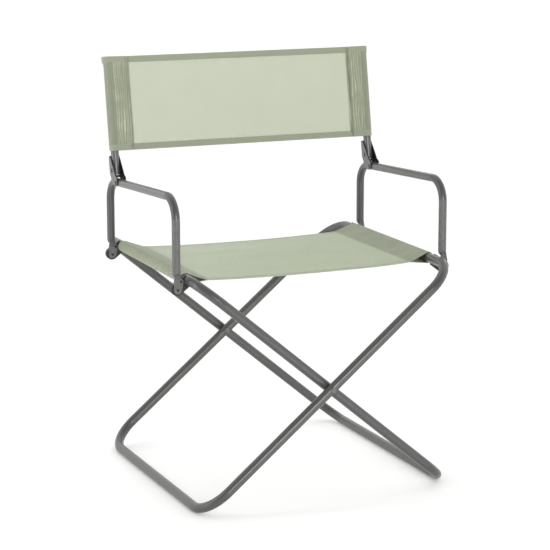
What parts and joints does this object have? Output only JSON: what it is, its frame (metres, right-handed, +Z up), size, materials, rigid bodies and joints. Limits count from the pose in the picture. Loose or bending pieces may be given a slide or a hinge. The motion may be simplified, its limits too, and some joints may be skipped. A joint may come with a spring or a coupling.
{
  "type": "folding director chair",
  "caption": "Folding director chair: linked tubular X leg frames, pivoting armrest hoops, fold-down back posts, sling mesh seat and sleeved mesh back panel.",
  "frame": {"origin": "on the floor under the middle of the chair", "axes": "+Z up, the front of the chair faces -Y, +X to the right as seen from the front"},
  "size_m": [0.622, 0.6311, 0.8868],
  "materials": {
    "frame_tube": "satin warm grey powder coat",
    "bracket_steel": "satin warm grey powder coat",
    "rivet_steel": "dulled zinc",
    "rivet_black": "blackened steel",
    "black_plastic": "fine moulded texture",
    "seat_mesh": "coated mesh, sage green",
    "back_mesh": "coated mesh, sage green"
  },
  "bodies": {
    "left_arm": {"left_armrest_tube": "frame_tube", "left_front_pivot_shoe": "black_plastic", "left_rear_pivot_shoe": "black_plastic", "left_shoe_rivets": "rivet_black", "left_back_bracket": "bracket_steel", "left_bracket_liner": "black_plastic", "left_bracket_rivet": "rivet_steel", "left_post_pivot_pin": "rivet_steel"},
    "left_frame": {"left_leg_frame": "frame_tube", "seat_sling": "seat_mesh"},
    "right_frame": {"right_leg_frame": "frame_tube", "cross_rivets": "rivet_steel", "cross_washers": "black_plastic"},
    "right_arm": {"right_armrest_tube": "frame_tube", "right_front_pivot_shoe": "black_plastic", "right_rear_pivot_shoe": "black_plastic", "right_shoe_rivets": "rivet_black", "right_back_bracket": "bracket_steel", "right_bracket_liner": "black_plastic", "right_bracket_rivet": "rivet_steel", "right_post_pivot_pin": "rivet_steel"},
    "left_post": {"left_back_post": "frame_tube", "left_post_plug": "black_plastic", "back_panel": "back_mesh"},
    "right_post": {"right_back_post": "frame_tube", "right_post_plug": "black_plastic"}
  },
  "joints": [
    {"name": "left_arm_tilt", "type": "hinge", "parent": "left_arm", "child": "left_frame", "pos_m": [-0.275, 0, 0.474], "axis": [0, 1, 0], "range_deg": [0, 44]},
    {"name": "fold", "type": "hinge", "parent": "left_frame", "child": "right_frame", "pos_m": [0, 0, 0.24284], "axis": [0, -1, 0], "range_deg": [0, 88], "deforming": ["seat_sling", "back_panel"]},
    {"name": "right_arm_tilt", "type": "hinge", "parent": "right_frame", "child": "right_arm", "pos_m": [0.275, 0, 0.474], "axis": [0, 1, 0], "range_deg": [0, 44]},
    {"name": "back_fold", "type": "hinge", "parent": "left_arm", "child": "left_post", "pos_m": [-0.298, 0.16, 0.645], "axis": [1, 0, 0], "range_deg": [0, 96]},
    {"name": "right_back_fold", "type": "hinge", "parent": "right_arm", "child": "right_post", "pos_m": [0.298, 0.16, 0.645], "axis": [1, 0, 0], "range_deg": [0, 96]}
  ],
  "couplings": [
    {"joint": "left_arm_tilt", "follows": "fold", "ratio": 0.5},
    {"joint": "right_arm_tilt", "follows": "fold", "ratio": 0.5},
    {"joint": "right_back_fold", "follows": "back_fold", "ratio": 1}
  ]
}
